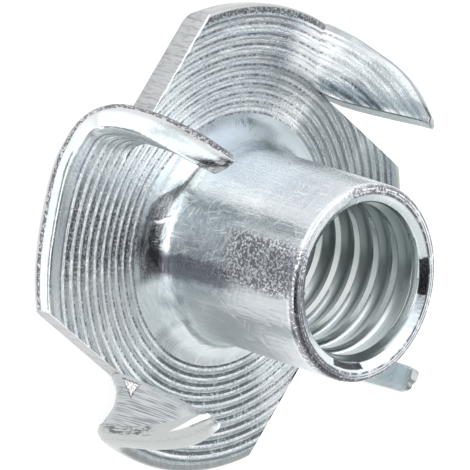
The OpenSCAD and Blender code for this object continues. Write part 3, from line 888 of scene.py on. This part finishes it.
# ---------------------------------------------------------------- floor, light, camera
def stage_and_lights():
    sc = bpy.context.scene
    sc.view_settings.view_transform = "Standard"
    me = bpy.data.meshes.new("floor")
    s = 1.2
    me.from_pydata([(-s, -s, 0), (s, -s, 0), (s, s, 0), (-s, s, 0)], [], [(0, 1, 2, 3)])
    fl = bpy.data.objects.new("floor", me)
    sc.collection.objects.link(fl)
    m = bpy.data.materials.new("floor_pale")
    m.use_nodes = True
    b = m.node_tree.nodes["Principled BSDF"]
    b.inputs["Base Color"].default_value = (0.30, 0.30, 0.30, 1)
    b.inputs["Roughness"].default_value = 0.9
    b.inputs["Specular IOR Level"].default_value = 0.1
    b.inputs["Emission Color"].default_value = (1, 1, 1, 1)
    b.inputs["Emission Strength"].default_value = 0.82
    me.materials.append(m)

    # a dark card in front of the nut, which only its reflections see: it gives the bright steel its dark band
    n = 24
    cv, cf = [], []
    for a0, a1, r0, r1 in CARD:
        base = len(cv)
        for i in range(n + 1):
            a = math.radians(a0 + (a1 - a0) * i / n)
            cv += [(math.cos(a) * r0, math.sin(a) * r0, 0.0004), (math.cos(a) * r1, math.sin(a) * r1, 0.0004)]
        cf += [(base + 2 * i, base + 2 * i + 1, base + 2 * i + 3, base + 2 * i + 2) for i in range(n)]
    cm = bpy.data.meshes.new("dark_card")
    cm.from_pydata(cv, [], cf)
    cd = bpy.data.objects.new("dark_card", cm)
    sc.collection.objects.link(cd)
    mm = bpy.data.materials.new("card_dark")
    mm.use_nodes = True
    cb = mm.node_tree.nodes["Principled BSDF"]
    cb.inputs["Base Color"].default_value = (0.20, 0.205, 0.225, 1)
    cb.inputs["Roughness"].default_value = 0.9
    cb.inputs["Specular IOR Level"].default_value = 0.0
    cm.materials.append(mm)
    cd.visible_camera = False
    cd.visible_diffuse = False
    cd.visible_shadow = False

    w = bpy.data.worlds.new("studio")
    sc.world = w
    w.use_nodes = True
    nt = w.node_tree
    for n in list(nt.nodes):
        nt.nodes.remove(n)
    out = nt.nodes.new("ShaderNodeOutputWorld")
    bg = nt.nodes.new("ShaderNodeBackground")
    nt.links.new(bg.outputs[0], out.inputs[0])
    co = nt.nodes.new("ShaderNodeTexCoord")

    def spot(direction, width, soft):
        """1 inside a patch of the sky around a direction, 0 outside, soft at its edge."""
        d = nt.nodes.new("ShaderNodeVectorMath")
        d.operation = "DOT_PRODUCT"
        v = Vector(direction).normalized()
        d.inputs[1].default_value = v
        nt.links.new(co.outputs["Generated"], d.inputs[0])
        mr = nt.nodes.new("ShaderNodeMapRange")
        mr.interpolation_type = "SMOOTHSTEP"
        mr.inputs["From Min"].default_value = math.cos(math.radians(width + soft))
        mr.inputs["From Max"].default_value = math.cos(math.radians(max(0.0, width - soft)))
        nt.links.new(d.outputs["Value"], mr.inputs["Value"])
        return mr.outputs[0]

    def direction(az, el):
        a, e = math.radians(az), math.radians(el)
        return (math.cos(e) * math.cos(a), math.cos(e) * math.sin(a), math.sin(e))

    base = nt.nodes.new("ShaderNodeRGB")
    base.outputs[0].default_value = (0.90, 0.935, 0.955, 1)
    col = base.outputs[0]
    for (az, el), width, soft, c in SKY:
        mx = nt.nodes.new("ShaderNodeMix")
        mx.data_type = "RGBA"
        nt.links.new(spot(direction(az, el), width, soft), mx.inputs["Factor"])
        nt.links.new(col, mx.inputs[6])
        mx.inputs[7].default_value = (*c, 1)
        col = mx.outputs[2]
    # a dark flag hangs over the set, from above the camera to just past the zenith: long and narrow
    d = nt.nodes.new("ShaderNodeVectorMath")
    d.operation = "DOT_PRODUCT"
    d.inputs[1].default_value = direction(FLAG[0] + 90, 0)
    nt.links.new(co.outputs["Generated"], d.inputs[0])
    ab = nt.nodes.new("ShaderNodeMath")
    ab.operation = "ABSOLUTE"
    nt.links.new(d.outputs["Value"], ab.inputs[0])
    mr = nt.nodes.new("ShaderNodeMapRange")
    mr.interpolation_type = "SMOOTHSTEP"
    mr.inputs["From Min"].default_value = math.sin(math.radians(FLAG[3] - FLAG[4]))
    mr.inputs["From Max"].default_value = math.sin(math.radians(FLAG[3] + FLAG[4]))
    mr.inputs["To Min"].default_value = 1.0
    mr.inputs["To Max"].default_value = 0.0
    nt.links.new(ab.outputs[0], mr.inputs["Value"])
    both = nt.nodes.new("ShaderNodeMath")
    both.operation = "MULTIPLY"
    nt.links.new(mr.outputs[0], both.inputs[0])
    nt.links.new(spot(direction(FLAG[0], FLAG[1]), FLAG[2], FLAG[4]), both.inputs[1])
    mx = nt.nodes.new("ShaderNodeMix")
    mx.data_type = "RGBA"
    nt.links.new(both.outputs[0], mx.inputs["Factor"])
    nt.links.new(col, mx.inputs[6])
    mx.inputs[7].default_value = (*FLAG[5], 1)
    nt.links.new(mx.outputs[2], bg.inputs["Color"])
    bg.inputs["Strength"].default_value = 1.0

    for name, az, el, dist, size, power, colour in LAMPS:
        l = bpy.data.lights.new(name, "AREA")
        l.shape = "RECTANGLE"
        l.size, l.size_y = size
        l.energy = power
        l.color = colour
        ob = bpy.data.objects.new(name, l)
        p = Vector(direction(az, el)) * dist
        ob.location = p
        ob.rotation_euler = (-p).to_track_quat("-Z", "Y").to_euler()
        ob.visible_glossy = False
        sc.collection.objects.link(ob)

    cam = bpy.data.cameras.new("camera")
    cam.sensor_width = 36.0
    cam.lens = 520.98
    cam.clip_start = 0.01
    cam.clip_end = 10.0
    ob = bpy.data.objects.new("camera", cam)
    R = Matrix(CAM_ROWS)  # rows: image right, image down, forward
    rot = Matrix((R[0], -R[1], -R[2])).transposed().to_4x4()
    ob.matrix_world = Matrix.Translation(Vector(CAM_AT)) @ rot
    sc.collection.objects.link(ob)
    sc.camera = ob


CARD = ((97, 141, 0.0124, 0.030),)
CAM_ROWS = ((0.48666960, -0.53607502, 0.68976536), (-0.84680957, -0.48348127, 0.22171922), (0.21463049, -0.69200391, -0.68924911))
CAM_AT = (-0.066585, 0.215634, 0.216335)
# patches of the studio around the object: (azimuth, elevation), half width, softness, colour
SKY = (
    ((250, 66), 22, 22, (0.45, 0.47, 0.48)),
    ((335, 14), 40, 20, (1.30, 1.33, 1.35)),
    ((22, 42), 30, 14, (1.60, 1.66, 1.72)),
    ((90, 30), 22, 8, (1.35, 1.37, 1.39)),
    ((132, 8), 32, 8, (1.10, 1.12, 1.14)),
    ((132, -40), 61, 4, (1.7, 1.72, 1.73)),
)
# flag: azimuth, elevation of its middle, half length, half width, softness, colour
FLAG = (146, 56, 29, 11, 3, (0.04, 0.042, 0.05))
LAMPS = (
    ("fill", 200, 78, 0.7, (1.2, 1.2), 7.0, (1.0, 0.998, 0.995)),
)

# ---------------------------------------------------------------- build
verts, faces, tags, lay = build_nut()
nut = mesh_object("tee_nut_steel", verts, faces, tags, lay)

import bmesh

bm = bmesh.new()
bm.from_mesh(nut.data)
bmesh.ops.recalc_face_normals(bm, faces=bm.faces)
open_edges = sum(1 for e in bm.edges if len(e.link_faces) != 2)
tris = sum(len(f.verts) - 2 for f in bm.faces)
for e in [e for e in bm.edges if len(e.link_faces) != 2][:12]:
    print("open", [tuple(round(c * 1000, 3) for c in v.co) for v in e.verts], len(e.link_faces))
print("nut: verts", len(bm.verts), "tris", tris, "open edges", open_edges, "volume mm3", round(bm.calc_volume() * 1e9, 1))
for e in bm.edges:
    if len(e.link_faces) == 2:
        e.smooth = e.calc_face_angle(0.0) < math.radians(50)
bm.to_mesh(nut.data)
bm.free()

nut.data.materials.append(zinc_material())
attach(nut, "root")
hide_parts("tee_nut")

stage_and_lights()
